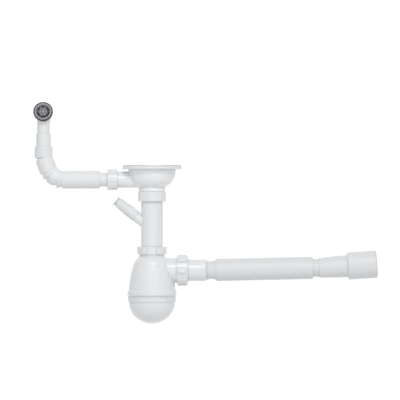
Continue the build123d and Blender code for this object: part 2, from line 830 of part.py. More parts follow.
with BuildPart() as overflow_rosette:
    rosette_section = [
        (face - rosette_skirt, rosette_radius),
        (pad_front, rosette_radius),
        (face, rosette_radius - rosette_sheet),
        (face, rosette_flat),
        (face - rosette_dish, rosette_centre),
        (face - rosette_dish, rosette_screw + pipe_gap),
        (pad_front - rosette_dish, rosette_screw + pipe_gap),
        (pad_front - rosette_dish, rosette_centre),
        (pad_front, rosette_flat),
        (pad_front, rosette_radius - rosette_sheet),
        (face - rosette_skirt, rosette_radius - rosette_sheet),
    ]
    turn(head_frame, rosette_section)
    with BuildSketch(across(head_frame, pad_front - rosette_dish)):
        for index in range(slot_count):
            slot_start = (index + 0.5) * 360 / slot_count - slot_arc / 2
            slot_path = Edge.make_circle(slot_ring, start_angle=slot_start, end_angle=slot_start + slot_arc)
            SlotArc(slot_path, slot_width)
    extrude(amount=rosette_dish + rosette_sheet, mode=Mode.SUBTRACT)
overflow_rosette.part.label = "overflow_rosette"
export_step(overflow_rosette.part, "parts/overflow_rosette.step")

with BuildPart() as overflow_screw:
    head_seat = face - rosette_dish
    screw_section = [
        (head_seat - rosette_screw_length, 0),
        (head_seat - rosette_screw_length, rosette_screw),
        (head_seat, rosette_screw),
        (head_seat, rosette_head),
        (head_seat + rosette_head_height / 2, rosette_head),
        (head_seat + rosette_head_height, rosette_head / 2),
        (head_seat + rosette_head_height, 0),
    ]
    turn(head_frame, screw_section)
overflow_screw.part.label = "overflow_screw"
export_step(overflow_screw.part, "parts/overflow_screw.step")
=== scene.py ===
"""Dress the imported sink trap: ribbed hoses, moulded plastic, rubber, steel and a white stage.

Metres, in the part's own frame: +Z up, the outlet hose along +X, the overflow rosette facing -Y.
"""
from math import cos, pi, radians, sin

import bpy
import numpy as np
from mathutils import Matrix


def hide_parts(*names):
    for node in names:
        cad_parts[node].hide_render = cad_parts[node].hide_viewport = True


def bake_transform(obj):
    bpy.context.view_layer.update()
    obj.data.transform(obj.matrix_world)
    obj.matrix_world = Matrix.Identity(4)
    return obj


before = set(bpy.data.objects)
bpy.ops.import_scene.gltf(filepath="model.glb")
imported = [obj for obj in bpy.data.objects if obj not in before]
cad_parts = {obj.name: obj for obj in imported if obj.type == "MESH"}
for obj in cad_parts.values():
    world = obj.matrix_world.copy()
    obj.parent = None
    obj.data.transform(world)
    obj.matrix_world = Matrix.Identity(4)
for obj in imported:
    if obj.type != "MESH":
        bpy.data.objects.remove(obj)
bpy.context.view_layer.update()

bl_info = {
    "name": "Sink Trap Finish",
    "version": (1, 0, 0),
    "blender": (4, 5, 0),
    "location": "View3D > Sidebar > Trap",
    "description": "Ribbed hoses, materials and a stage for a sink's bottle trap",
    "category": "Object",
}

# Lines of the two hoses, as they are in the part
OUTLET_ORIGIN = (0.1, 0.0, -0.1915)
OUTLET_TILT = radians(1.25)
OVERFLOW_START = (-0.0564, 0.0, -0.0258)
OVERFLOW_LEGS = (0.1139, 0.0211, 0.0303, 0.0431)
OVERFLOW_HEADINGS = (180, 145, 111, 90)
OVERFLOW_TURN = 0.02
HEAD_TILT = radians(15)
HEAD_CENTRE = (-0.198443, 0.0, 0.09389)

# Valleys between the ribs that stand open on the outer side of the overflow hose's bend:
# station, depth, and half width before and after
OPEN_VALLEYS = (
    (0.1096, 0.0032, 0.0019, 0.0014),
    (0.1154, 0.0035, 0.0013, 0.0022),
    (0.1309, 0.0036, 0.0013, 0.0013),
    (0.1368, 0.0034, 0.0017, 0.0015),
    (0.1649, 0.0044, 0.0026, 0.0004),
)

# Ribs of the hoses, and rings of their meshes
OUTLET_RIBS = 32
RUN_RIBS = 17
STACK_RIBS = 5
RINGS_A_RIB = 14
RING_STEP = 0.0003
BORE_RINGS = 120
RING_SIDES = 96
LINE_SAMPLES = 4001
SHARP_EDGE = radians(50)

# Pieces that share a material
WHITE_NODES = (
    "waste_nut", "tail_pipe", "bottle_nut", "bottle_body", "sump_cup", "outlet_nut", "overflow_nut",
    "overflow_elbow", "outlet_cuff", "bottle_slip_ring", "outlet_slip_ring",
)
NOZZLE_NODES = ("appliance_nozzle", "appliance_plug")
OUTLET_NODES = ("outlet_sleeve", "outlet_bellows")
RUBBER_NODES = ("waste_seal", "bottle_seal", "outlet_seal", "overflow_seal", "overflow_gasket")

# Tone of the rosette's dark steel by its radius: the dish, a painted highlight on the flat ring and painted
# shade on the rolled rim
ROSETTE_PAINTED_LIGHT = ((0.0, 1.0), (0.0122, 1.0), (0.0134, 1.15), (0.015, 1.05), (0.0158, 0.3), (0.0182, 0.25))

# Narrow corners between pieces, and grooves between ribs, take painted shade: a darker tone
CORNER_REACH = 0.003
PAINTED_CORNER_SHADE = 0.7
HOSE_PAINTED_CORNER_SHADE = 0.82
PAINTED_GROOVE_SHADE = 0.7
PAINTED_GROOVE_SHARE = 0.2
GRAIN_DEPTH = 0.0002

# Reach of the painted light on the bowl's thin wall, by its distance from the waste's axis
BOWL_REACH = 0.041
BOWL_FADE = 0.008

# White surroundings and pale floor
ROOM_TINT = (0.97, 0.985, 1.0, 1.0)
ROOM_WHITE = 1.04
FLOOR_HALF = 6.0
FLOOR_TONE = 0.8
FLOOR_GLOW = 0.72
SENSOR_WIDTH = 36.0
CLIP_END = 30.0


class TrapHoseSettings(bpy.types.PropertyGroup):
    """Sizes of the two ribbed hoses"""

    outlet_crest: bpy.props.FloatProperty(
        name="Outlet Crest", description="Outer radius of the outlet hose's ribs",
        default=0.0205, min=0.018, max=0.022, precision=4, subtype="DISTANCE", unit="LENGTH")
    outlet_groove: bpy.props.FloatProperty(
        name="Outlet Groove", description="Depth of the grooves between the outlet hose's ribs",
        default=0.0006, min=0.0001, max=0.003, precision=4, subtype="DISTANCE", unit="LENGTH")
    overflow_crest: bpy.props.FloatProperty(
        name="Overflow Crest", description="Outer radius of the overflow hose's ribs",
        default=0.0164, min=0.014, max=0.018, precision=4, subtype="DISTANCE", unit="LENGTH")
    run_groove: bpy.props.FloatProperty(
        name="Run Groove", description="Depth of the grooves along the overflow hose's closed run",
        default=0.0001, min=0.0, max=0.002, precision=5, subtype="DISTANCE", unit="LENGTH")
    stack_groove: bpy.props.FloatProperty(
        name="Stack Groove", description="Depth of the grooves in the overflow hose's upright stack",
        default=0.0006, min=0.0, max=0.002, precision=5, subtype="DISTANCE", unit="LENGTH")
    # The open valleys get their full painted shade at this depth
    fold_depth: bpy.props.FloatProperty(
        name="Fold Depth", description="Depth at which an open valley of the overflow hose is shaded in full",
        default=0.0045, min=0.001, max=0.01, precision=4, subtype="DISTANCE", unit="LENGTH")
    groove_width: bpy.props.FloatProperty(
        name="Groove Width", description="Half width of a groove between two ribs",
        default=0.0006, min=0.0002, max=0.002, precision=4, subtype="DISTANCE", unit="LENGTH")


class TrapFinishSettings(bpy.types.PropertyGroup):
    """Colours of the trap's materials"""

    plastic: bpy.props.FloatVectorProperty(
        name="Moulded Plastic", description="Colour of the moulded white pieces",
        default=(0.86, 0.87, 0.88), size=3, min=0, max=1, subtype="COLOR")
    # Painted light: a lighter copy of the plastic for the bowl, standing in for light that comes through its
    # thin wall from above
    cup: bpy.props.FloatVectorProperty(
        name="Cup Plastic", description="Colour of the thin waste bowl, through which light comes from above",
        default=(0.95, 0.955, 0.96), size=3, min=0, max=1, subtype="COLOR")
    nozzle: bpy.props.FloatVectorProperty(
        name="Nozzle Plastic", description="Colour of the appliance nozzle and its plug",
        default=(0.82, 0.83, 0.83), size=3, min=0, max=1, subtype="COLOR")
    outlet: bpy.props.FloatVectorProperty(
        name="Outlet Plastic", description="Colour of the blown outlet hose and its sleeve",
        default=(0.79, 0.8, 0.81), size=3, min=0, max=1, subtype="COLOR")
    hose: bpy.props.FloatVectorProperty(
        name="Overflow Plastic", description="Colour of the blown overflow hose",
        default=(0.85, 0.86, 0.87), size=3, min=0, max=1, subtype="COLOR")
    rubber: bpy.props.FloatVectorProperty(
        name="Rubber", description="Colour of the seals and gaskets",
        default=(0.42, 0.43, 0.44), size=3, min=0, max=1, subtype="COLOR")
    gasket: bpy.props.FloatVectorProperty(
        name="Flange Gasket", description="Colour of the pale gasket on the flange",
        default=(0.76, 0.765, 0.77), size=3, min=0, max=1, subtype="COLOR")
    seal: bpy.props.FloatVectorProperty(
        name="Sump Seal", description="Colour of the white flat seal over the sump cup",
        default=(0.94, 0.945, 0.95), size=3, min=0, max=1, subtype="COLOR")
    steel: bpy.props.FloatVectorProperty(
        name="Sheet Steel", description="Colour of the strainer",
        default=(0.62, 0.62, 0.63), size=3, min=0, max=1, subtype="COLOR")
    rosette: bpy.props.FloatVectorProperty(
        name="Rosette Steel", description="Colour of the dark rosette",
        default=(0.13, 0.13, 0.14), size=3, min=0, max=1, subtype="COLOR")
    screw: bpy.props.FloatVectorProperty(
        name="Screws", description="Colour of the bright screws",
        default=(0.7, 0.7, 0.71), size=3, min=0, max=1, subtype="COLOR")
    rosette_screw: bpy.props.FloatVectorProperty(
        name="Rosette Screw", description="Colour of the dark screw in the rosette",
        default=(0.15, 0.15, 0.16), size=3, min=0, max=1, subtype="COLOR")
    brass: bpy.props.FloatVectorProperty(
        name="Brass", description="Colour of the insert that takes the strainer's screw",
        default=(0.72, 0.56, 0.28), size=3, min=0, max=1, subtype="COLOR")


class TrapStageSettings(bpy.types.PropertyGroup):
    """Camera, floor and light"""

    aim: bpy.props.FloatVectorProperty(
        name="Aim", description="Point that the middle of the picture shows",
        default=(0.088, 0.0, -0.063), size=3, precision=4, subtype="TRANSLATION", unit="LENGTH")
    distance: bpy.props.FloatProperty(
        name="Distance", description="Distance of the camera from the trap's middle plane",
        default=6.0, min=0.5, max=12, subtype="DISTANCE", unit="LENGTH")
    lens: bpy.props.FloatProperty(
        name="Lens", description="Focal length of the camera", default=295.0, min=20, max=500, unit="CAMERA")
    floor: bpy.props.FloatProperty(
        name="Floor", description="Height of the pale floor below the trap",
        default=-0.62, min=-1.5, max=-0.3, subtype="DISTANCE", unit="LENGTH")
    ambient: bpy.props.FloatProperty(
        name="Ambient", description="Strength of the white surroundings", default=0.59, min=0, max=2)
    key: bpy.props.FloatProperty(
        name="Key Light", description="Power of the lamp above and in front",
        default=8.0, min=0, max=200, subtype="POWER", unit="POWER")
    key_place: bpy.props.FloatVectorProperty(
        name="Key Place", description="Place of the lamp above, from the point that the picture shows",
        default=(0.15, -1.6, 1.25), size=3, subtype="TRANSLATION", unit="LENGTH")
    key_size: bpy.props.FloatVectorProperty(
        name="Key Size", description="Width and height of the lamp that makes the bright bands",
        default=(0.9, 0.45), size=2, min=0.1, max=4, subtype="XYZ_LENGTH", unit="LENGTH")
    fill: bpy.props.FloatProperty(
        name="Fill Light", description="Power of the wide lamp beside the camera",
        default=12.0, min=0, max=200, subtype="POWER", unit="POWER")
    fill_place: bpy.props.FloatVectorProperty(
        name="Fill Place", description="Place of the wide lamp, from the point that the picture shows",
        default=(0.15, -2.3, 0.7), size=3, subtype="TRANSLATION", unit="LENGTH")
    fill_size: bpy.props.FloatVectorProperty(
        name="Fill Size", description="Width and height of the wide lamp",
        default=(2.4, 2.4), size=2, min=0.1, max=4, subtype="XYZ_LENGTH", unit="LENGTH")
    back: bpy.props.FloatProperty(
        name="Back Light", description="Power of the weak wide lamp behind the trap",
        default=6.0, min=0, max=200, subtype="POWER", unit="POWER")
    back_place: bpy.props.FloatVectorProperty(
        name="Back Place", description="Place of the lamp behind, from the point that the picture shows",
        default=(-0.5, 2.3, 0.9), size=3, subtype="TRANSLATION", unit="LENGTH")


RING = np.arange(RING_SIDES) * (2 * pi / RING_SIDES)


def tube_surface(centres, outward, radii):
    """Closed tube of rings: point(i, j) = centre[i] + radius[i, j] * (cos(a) * outward[i] + sin(a) * Y).

    The angle a = RING[j] runs once round. The profile goes out along the outer wall and comes back along
    the inner one, so the grid closes on itself in both directions.
    """
    ring = np.cos(RING)[None, :, None] * outward[:, None, :]
    ring = ring + np.sin(RING)[None, :, None] * np.array([0.0, 1.0, 0.0])
    return centres[:, None, :] + radii[:, :, None] * ring


def all_round(values):
    """The same value all round each ring."""
    return np.repeat(np.asarray(values, float)[:, None], len(RING), axis=1)


def rib_wave(distance, pitch, groove):
    """Groove mask of a ribbed wall: exp(-(d / groove) ** 2), d being the way to the nearest groove."""
    offset = (distance / pitch + 0.5) % 1.0 - 0.5
    return np.exp(-(offset * pitch / groove) ** 2)


def lines_between(knots, step):
    """Even samples along a row of stations, with every station among them."""
    counts = np.maximum(1, np.ceil(np.diff(knots) / step)).astype(int)
    runs = [np.linspace(a, b, n, endpoint=False) for a, b, n in zip(knots[:-1], knots[1:], counts)]
    return np.concatenate(runs + [np.array(knots[-1:])])


def surface_piece(name, points, groove):
    """Mesh of a grid that closes both ways, with its groove mask kept as a point attribute for painted shade.
    """
    rows, columns = points.shape[:2]
    index = np.arange(rows * columns).reshape(rows, columns)
    below = np.roll(index, -1, axis=0)
    beside = np.roll(index, -1, axis=1)
    corner = np.roll(below, -1, axis=1)
    faces = np.stack([index, beside, corner, below], axis=-1).reshape(-1, 4)
    mesh = bpy.data.meshes.new(name)
    mesh.from_pydata(points.reshape(-1, 3), [], faces)
    mesh.polygons.foreach_set("use_smooth", np.ones(len(faces), bool))
    mesh.set_sharp_from_angle(angle=SHARP_EDGE)
    mask = mesh.attributes.new("groove", "FLOAT", "POINT")
    mask.data.foreach_set("value", groove.ravel().astype(np.float32))
    piece = bpy.data.objects.new(name, mesh)
    bpy.context.scene.collection.objects.link(piece)
    return piece


class TRAP_OT_outlet_hose(bpy.types.Operator):
    """Make the ribbed outlet hose, with a plain neck at each end"""

    bl_idname = "trap.outlet_hose"
    bl_label = "Outlet Hose"

    def execute(self, context):
        sizes = context.scene.trap_hoses
        near, shoulder, taper, ramp = -0.01434, 0.0007, 0.005, 0.0128
        first, last, far = 0.0195, 0.19454, 0.224896
        neck, wall, collar = 0.0164, 0.001, 0.0184
        top_share, fall = 0.12, 2.5
        pitch = (last - first) / OUTLET_RIBS
        along = lines_between([first, last], pitch / RINGS_A_RIB)
        groove = rib_wave(along - first, pitch, sizes.groove_width)
        # The grooves are deeper, and take more painted shade, towards the underside, where light from above
        # leaves them in shade
        low = top_share + (1 - top_share) * ((1 - np.cos(RING)) / 2) ** fall
        mask = groove[:, None] * low
        ribbed = sizes.outlet_crest - sizes.outlet_groove * mask
        station = np.concatenate([[near, shoulder, shoulder, taper, ramp], along, [last, far, far, near]])
        before = all_round([neck, neck, collar, neck, neck])
        after = all_round([neck, neck, neck - wall, neck - wall])
        radii = np.concatenate([before, ribbed, after])
        mask = np.concatenate([0 * before, mask, 0 * after])
        way = np.array([cos(OUTLET_TILT), 0.0, sin(OUTLET_TILT)])
        up = np.array([-way[2], 0.0, way[0]])
        centres = np.array(OUTLET_ORIGIN) + station[:, None] * way
        points = tube_surface(centres, np.broadcast_to(up, centres.shape), radii)
        hose = surface_piece("outlet_hose_skin", points, mask)
        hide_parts("outlet_bellows")
        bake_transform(hose)
        return {"FINISHED"}


def overflow_line(stations):
    """Centre line of the overflow hose: its heading is a row of levels and even turns, summed up over length.

    The heading h goes from 180 to 90 degrees, and a point is the start plus the sum of (cos h, 0, sin h) ds.
    Returns the points, the way square to the line in the plane of the bend, and where levels and turns meet.
    """
    headings = np.radians(OVERFLOW_HEADINGS)
    turns = -np.diff(headings)
    cut = OVERFLOW_TURN * np.tan(turns / 2)
    lengths = np.empty(2 * len(OVERFLOW_LEGS) - 1)
    lengths[0::2] = OVERFLOW_LEGS - np.append(cut, 0.0) - np.insert(cut, 0, 0.0)
    lengths[1::2] = OVERFLOW_TURN * turns
    knots = np.concatenate([[0.0], np.cumsum(lengths)])
    fine = np.linspace(0.0, knots[-1], LINE_SAMPLES)
    middle = (fine[1:] + fine[:-1]) / 2
    heading = np.interp(middle, knots, np.repeat(headings, 2))
    step = fine[1] - fine[0]
    x = np.concatenate([[0.0], np.cumsum(np.cos(heading) * step)])
    z = np.concatenate([[0.0], np.cumsum(np.sin(heading) * step)])
    turned = np.interp(stations, knots, np.repeat(headings, 2))
    points = np.stack([np.interp(stations, fine, x), np.zeros_like(stations), np.interp(stations, fine, z)], -1)
    square = np.stack([np.sin(turned), np.zeros_like(turned), -np.cos(turned)], -1)
    return points + np.array(OVERFLOW_START), square, knots


def open_valleys(stations):
    """Depth of the open valleys: the sum of d * exp(-((s - c) / w) ** 2), w differing before and after c."""
    place, depth, before, after = np.array(OPEN_VALLEYS).T
    offset = stations[:, None] - place
    width = np.where(offset < 0, before, after)
    return (depth * np.exp(-(offset / width) ** 2)).sum(axis=1)


class TRAP_OT_overflow_hose(bpy.types.Operator):
    """Make the overflow hose: a cuff, a ribbed run bent up in three kinks, and a wider cuff"""

    bl_idname = "trap.overflow_hose"
    bl_label = "Overflow Hose"

    def execute(self, context):
        sizes = context.scene.trap_hoses
        knots = overflow_line(np.zeros(1))[2]
        cuff, riser_cuff, riser_cuff_height, bore = 0.013, 0.0134, 0.023, 0.0117
        first, run_end, stack_start = 0.0396, 0.1058, 0.1655
        inner_share, fall, run_shade, fold_shade = 0.4, 1.5, 0.3, 0.5
        length = knots[-1]
        last = length - riser_cuff_height
        along = lines_between([first, last], RING_STEP)
        away = ((1 - np.cos(RING)) / 2) ** fall
        ribs = rib_wave(along - first, (run_end - first) / RUN_RIBS, sizes.groove_width)
        stack = rib_wave(along - stack_start, (last - stack_start) / STACK_RIBS, sizes.groove_width)
        in_run = along < run_end
        in_stack = along > stack_start
        mask = np.where(in_run, ribs, np.where(in_stack, stack, 0.0))
        depth = np.where(in_run, sizes.run_groove, sizes.stack_groove) * mask
        valley = open_valleys(along)[:, None] * away
        ribbed = sizes.overflow_crest - valley - depth[:, None] * (inner_share + (1 - inner_share) * away)
        # Painted shade: the groove mask, weaker along the closed run, plus the open valleys of the folds,
        # darkens the hose's colour
        mask = np.where(in_run, run_shade, 1.0)[:, None] * mask[:, None]
        mask = mask + fold_shade * valley / sizes.fold_depth
        back = np.linspace(length, 0.0, BORE_RINGS)
        station = np.concatenate([[0.0, first], along, [last, length], back])
        before = all_round([cuff, cuff])
        after = np.concatenate([all_round([riser_cuff, riser_cuff]), all_round(np.full(BORE_RINGS, bore))])
        radii = np.concatenate([before, ribbed, after])
        shade = np.concatenate([0 * before, mask, 0 * after])
        centres, outward, knots = overflow_line(station)
        points = tube_surface(centres, outward, radii)
        hose = surface_piece("overflow_hose_skin", points, shade)
        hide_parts("overflow_hose")
        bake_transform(hose)
        return {"FINISHED"}


def add_node(tree, kind, inputs=None, **settings):
    """Add a shader node, set its properties, and link or set its inputs."""
    node = tree.nodes.new(kind)
    for key, value in settings.items():
        setattr(node, key, value)
    for name, value in (inputs or {}).items():
        if isinstance(value, bpy.types.NodeSocket):
            tree.links.new(value, node.inputs[name])
        else:
            node.inputs[name].default_value = value
    return node


def new_group(name, inputs, outputs):
    """Start a shader node group with named sockets; returns its tree, its input node and its output node."""
    tree = bpy.data.node_groups.new(name, "ShaderNodeTree")
    for label, kind, value in inputs:
        socket = tree.interface.new_socket(label, in_out="INPUT", socket_type=kind)
        if value is not None:
            socket.default_value = value
    for label, kind in outputs:
        tree.interface.new_socket(label, in_out="OUTPUT", socket_type=kind)
    return tree, tree.nodes.new("NodeGroupInput"), tree.nodes.new("NodeGroupOutput")


def mix_colours(tree, share, first, second):
    """Colour that goes from the first to the second as the share goes from 0 to 1."""
    return add_node(tree, "ShaderNodeMix", {0: share, 6: first, 7: second}, data_type="RGBA").outputs[2]


def axis_radius(tree, parts):
    """Distance from the Z axis, from a node that has split a point into X, Y and Z."""
    flat = add_node(tree, "ShaderNodeCombineXYZ", {"X": parts.outputs["X"], "Y": parts.outputs["Y"]})
    return add_node(tree, "ShaderNodeVectorMath", {0: flat.outputs[0]}, operation="LENGTH").outputs["Value"]


def moulding_group():
    """Tone, gloss and grain of a moulded surface: slow noise shifts both, fine noise gives the height."""
    name = "Moulded Surface"
    if name in bpy.data.node_groups:
        return bpy.data.node_groups[name]
    tree, given, result = new_group(
        name,
        [("Vector", "NodeSocketVector", None), ("Colour", "NodeSocketColor", None),
         ("Tone Spread", "NodeSocketFloat", 0.04), ("Roughness", "NodeSocketFloat", 0.35),
         ("Gloss Spread", "NodeSocketFloat", 0.1), ("Grain Scale", "NodeSocketFloat", 900.0)],
        [("Colour", "NodeSocketColor"), ("Roughness", "NodeSocketFloat"), ("Height", "NodeSocketFloat")],
    )
    vector = given.outputs["Vector"]
    slow = add_node(tree, "ShaderNodeTexNoise", {"Vector": vector, "Scale": 22.0, "Detail": 3.0})
    gloss = add_node(tree, "ShaderNodeTexNoise", {"Vector": vector, "Scale": 70.0, "Detail": 4.0})
    grain = add_node(tree, "ShaderNodeTexNoise",
                     {"Vector": vector, "Scale": given.outputs["Grain Scale"], "Detail": 2.0})
    shift = add_node(tree, "ShaderNodeMath", {0: slow.outputs[0], 1: 0.5}, operation="SUBTRACT")
    value = add_node(tree, "ShaderNodeMath", {0: shift.outputs[0], 1: given.outputs["Tone Spread"], 2: 1.0},
                     operation="MULTIPLY_ADD")
    tone = add_node(tree, "ShaderNodeHueSaturation",
                    {"Value": value.outputs[0], "Color": given.outputs["Colour"]})
    rub = add_node(tree, "ShaderNodeMath", {0: gloss.outputs[0], 1: 0.5}, operation="SUBTRACT")
    rough = add_node(tree, "ShaderNodeMath",
                     {0: rub.outputs[0], 1: given.outputs["Gloss Spread"], 2: given.outputs["Roughness"]},
                     operation="MULTIPLY_ADD", use_clamp=True)
    tree.links.new(tone.outputs["Color"], result.inputs["Colour"])
    tree.links.new(rough.outputs[0], result.inputs["Roughness"])
    tree.links.new(grain.outputs[0], result.inputs["Height"])
    return tree


def turned_group():
    """Marks of turning or brushing round an axis: noise over the distance from Z, stretched round it."""
    name = "Turned Metal"
    if name in bpy.data.node_groups:
        return bpy.data.node_groups[name]
    tree, given, result = new_group(
        name,
        [("Vector", "NodeSocketVector", None), ("Colour", "NodeSocketColor", None),
         ("Line Scale", "NodeSocketFloat", 2500.0), ("Tone Spread", "NodeSocketFloat", 0.25),
         ("Roughness", "NodeSocketFloat", 0.3), ("Gloss Spread", "NodeSocketFloat", 0.2)],
        [("Colour", "NodeSocketColor"), ("Roughness", "NodeSocketFloat"), ("Height", "NodeSocketFloat"),
         ("Radius", "NodeSocketFloat")],
    )
    parts = add_node(tree, "ShaderNodeSeparateXYZ", {"Vector": given.outputs["Vector"]})
    radius = axis_radius(tree, parts)
    reach = add_node(tree, "ShaderNodeMath", {0: radius, 1: parts.outputs["Z"]}, operation="ADD")
    lines = add_node(tree, "ShaderNodeTexNoise",
                     {"W": reach.outputs[0], "Scale": given.outputs["Line Scale"], "Detail": 3.0},
                     noise_dimensions="1D")
    slow = add_node(tree, "ShaderNodeTexNoise",
                    {"Vector": given.outputs["Vector"], "Scale": 120.0, "Detail": 3.0})
    mixed = add_node(tree, "ShaderNodeMath", {0: lines.outputs[0], 1: slow.outputs[0]}, operation="ADD")
    shift = add_node(tree, "ShaderNodeMath", {0: mixed.outputs[0], 1: 1.0}, operation="SUBTRACT")
    value = add_node(tree, "ShaderNodeMath", {0: shift.outputs[0], 1: given.outputs["Tone Spread"], 2: 1.0},
                     operation="MULTIPLY_ADD")
    tone = add_node(tree, "ShaderNodeHueSaturation",
                    {"Value": value.outputs[0], "Color": given.outputs["Colour"]})
    rough = add_node(tree, "ShaderNodeMath",
                     {0: shift.outputs[0], 1: given.outputs["Gloss Spread"], 2: given.outputs["Roughness"]},
                     operation="MULTIPLY_ADD", use_clamp=True)
    tree.links.new(tone.outputs["Color"], result.inputs["Colour"])
    tree.links.new(rough.outputs[0], result.inputs["Roughness"])
    tree.links.new(lines.outputs[0], result.inputs["Height"])
    tree.links.new(radius, result.inputs["Radius"])
    return tree


def new_material(name, colour):
    """Start a material with one Principled shader; returns the material, its tree and that shader."""
    material = bpy.data.materials.new(name)
    material.use_nodes = True
    material.diffuse_color = (*colour, 1.0)
    tree = material.node_tree
    tree.nodes.clear()
    surface = tree.nodes.new("ShaderNodeBsdfPrincipled")
    output = tree.nodes.new("ShaderNodeOutputMaterial")
    tree.links.new(surface.outputs["BSDF"], output.inputs["Surface"])
    return material, tree, surface


def near_axis(tree, vector, reach, fade):
    """Mask that is 1 within a reach of the Z axis and falls to 0 over the fade beyond it."""
    parts = add_node(tree, "ShaderNodeSeparateXYZ", {"Vector": vector})
    mask = add_node(tree, "ShaderNodeMapRange", {"Value": axis_radius(tree, parts), "From Min": reach,
                                                 "From Max": reach + fade, "To Min": 1.0, "To Max": 0.0})
    return mask.outputs[0]


def toned(colour, tone):
    """A colour times a tone, with full alpha."""
    return (*[channel * tone for channel in colour], 1.0)


def moulded_material(name, colour, roughness, grain, tone=0.04, bump=0.15, groove_shaded=False,
                     painted_corner_shade=PAINTED_CORNER_SHADE, thin=None):
    """Moulded plastic or rubber, with painted shade in grooves and corners, and painted light on the bowl, a
    lighter colour where its thin wall lets light in.
    """
    material, tree, surface = new_material(name, colour)
    place = tree.nodes.new("ShaderNodeTexCoord")
    group = add_node(tree, "ShaderNodeGroup", node_tree=moulding_group())
    tree.links.new(place.outputs["Object"], group.inputs["Vector"])
    group.inputs["Colour"].default_value = (*colour, 1.0)
    group.inputs["Tone Spread"].default_value = tone
    group.inputs["Roughness"].default_value = roughness
    group.inputs["Grain Scale"].default_value = grain
    shade = group.outputs["Colour"]
    # Painted shade: the groove mask darkens the colour in grooves and open folds
    if groove_shaded:
        mask = add_node(tree, "ShaderNodeAttribute", attribute_name="groove")
        share = add_node(tree, "ShaderNodeMath", {0: mask.outputs["Fac"], 1: PAINTED_GROOVE_SHARE},
                         operation="MULTIPLY")
        shade = mix_colours(tree, share.outputs[0], shade, toned(colour, PAINTED_GROOVE_SHADE))
    # Painted light: within reach of the waste's axis the colour goes over to a lighter copy
    if thin:
        painted_light_mask = near_axis(tree, place.outputs["Object"], BOWL_REACH, BOWL_FADE)
        shade = mix_colours(tree, painted_light_mask, shade, toned(thin, 1.0))
    # Painted shade: where ambient occlusion finds a narrow corner or gap, the colour goes over to a darker copy
    corner = add_node(tree, "ShaderNodeAmbientOcclusion", {"Distance": CORNER_REACH}, samples=8)
    shade = mix_colours(tree, corner.outputs["AO"], toned(colour, painted_corner_shade), shade)
    relief = add_node(tree, "ShaderNodeBump",
                      {"Height": group.outputs["Height"], "Strength": bump, "Distance": GRAIN_DEPTH})
    tree.links.new(shade, surface.inputs["Base Color"])
    tree.links.new(group.outputs["Roughness"], surface.inputs["Roughness"])
    tree.links.new(relief.outputs["Normal"], surface.inputs["Normal"])
    return material


def ring_shade(tree, radius, shade, rings):
    """Multiply a colour by factors that a ramp gives for rings about the axis: painted highlight and painted
    shade.
    """
    reach = rings[-1][0]
    share = add_node(tree, "ShaderNodeMath", {0: radius, 1: reach}, operation="DIVIDE")
    ramp = add_node(tree, "ShaderNodeFloatCurve", {"Value": share.outputs[0]})
    top = max(factor for place, factor in rings)
    curve = ramp.mapping.curves[0]
    for place, factor in rings[1:-1]:
        curve.points.new(place / reach, factor / top)
    curve.points[0].location = (0.0, rings[0][1] / top)
    curve.points[-1].location = (1.0, rings[-1][1] / top)
    for point in curve.points:
        point.handle_type = "VECTOR"
    ramp.mapping.update()
    level = add_node(tree, "ShaderNodeMath", {0: ramp.outputs[0], 1: top}, operation="MULTIPLY")
    tone = add_node(tree, "ShaderNodeHueSaturation", {"Value": level.outputs[0], "Color": shade})
    return tone.outputs["Color"]


def turned_material(name, colour, roughness, lines, bump=0.2, place_at=(0.0, 0.0, 0.0), tilt=0.0, rings=None):
    """Turned or brushed metal whose marks run round an axis, which a Mapping node puts in place."""
    material, tree, surface = new_material(name, colour)
    surface.inputs["Metallic"].default_value = 1.0
    place = tree.nodes.new("ShaderNodeTexCoord")
    mapping = add_node(tree, "ShaderNodeMapping", vector_type="TEXTURE")
    mapping.inputs["Location"].default_value = place_at
    mapping.inputs["Rotation"].default_value = (tilt, 0.0, 0.0)
    tree.links.new(place.outputs["Object"], mapping.inputs["Vector"])
    group = add_node(tree, "ShaderNodeGroup", node_tree=turned_group())
    tree.links.new(mapping.outputs["Vector"], group.inputs["Vector"])
    group.inputs["Colour"].default_value = (*colour, 1.0)
    group.inputs["Line Scale"].default_value = lines
    group.inputs["Roughness"].default_value = roughness
    relief = add_node(tree, "ShaderNodeBump",
                      {"Height": group.outputs["Height"], "Strength": bump, "Distance": GRAIN_DEPTH})
    shade = group.outputs["Colour"]
    # Painted highlight and painted shade in rings about the rosette's axis
    if rings:
        shade = ring_shade(tree, group.outputs["Radius"], shade, rings)
    tree.links.new(shade, surface.inputs["Base Color"])
    tree.links.new(group.outputs["Roughness"], surface.inputs["Roughness"])
    tree.links.new(relief.outputs["Normal"], surface.inputs["Normal"])
    return material


def dress(piece, material):
    """Give a piece one material in place of what it had."""
    piece.data.materials.clear()
    piece.data.materials.append(material)


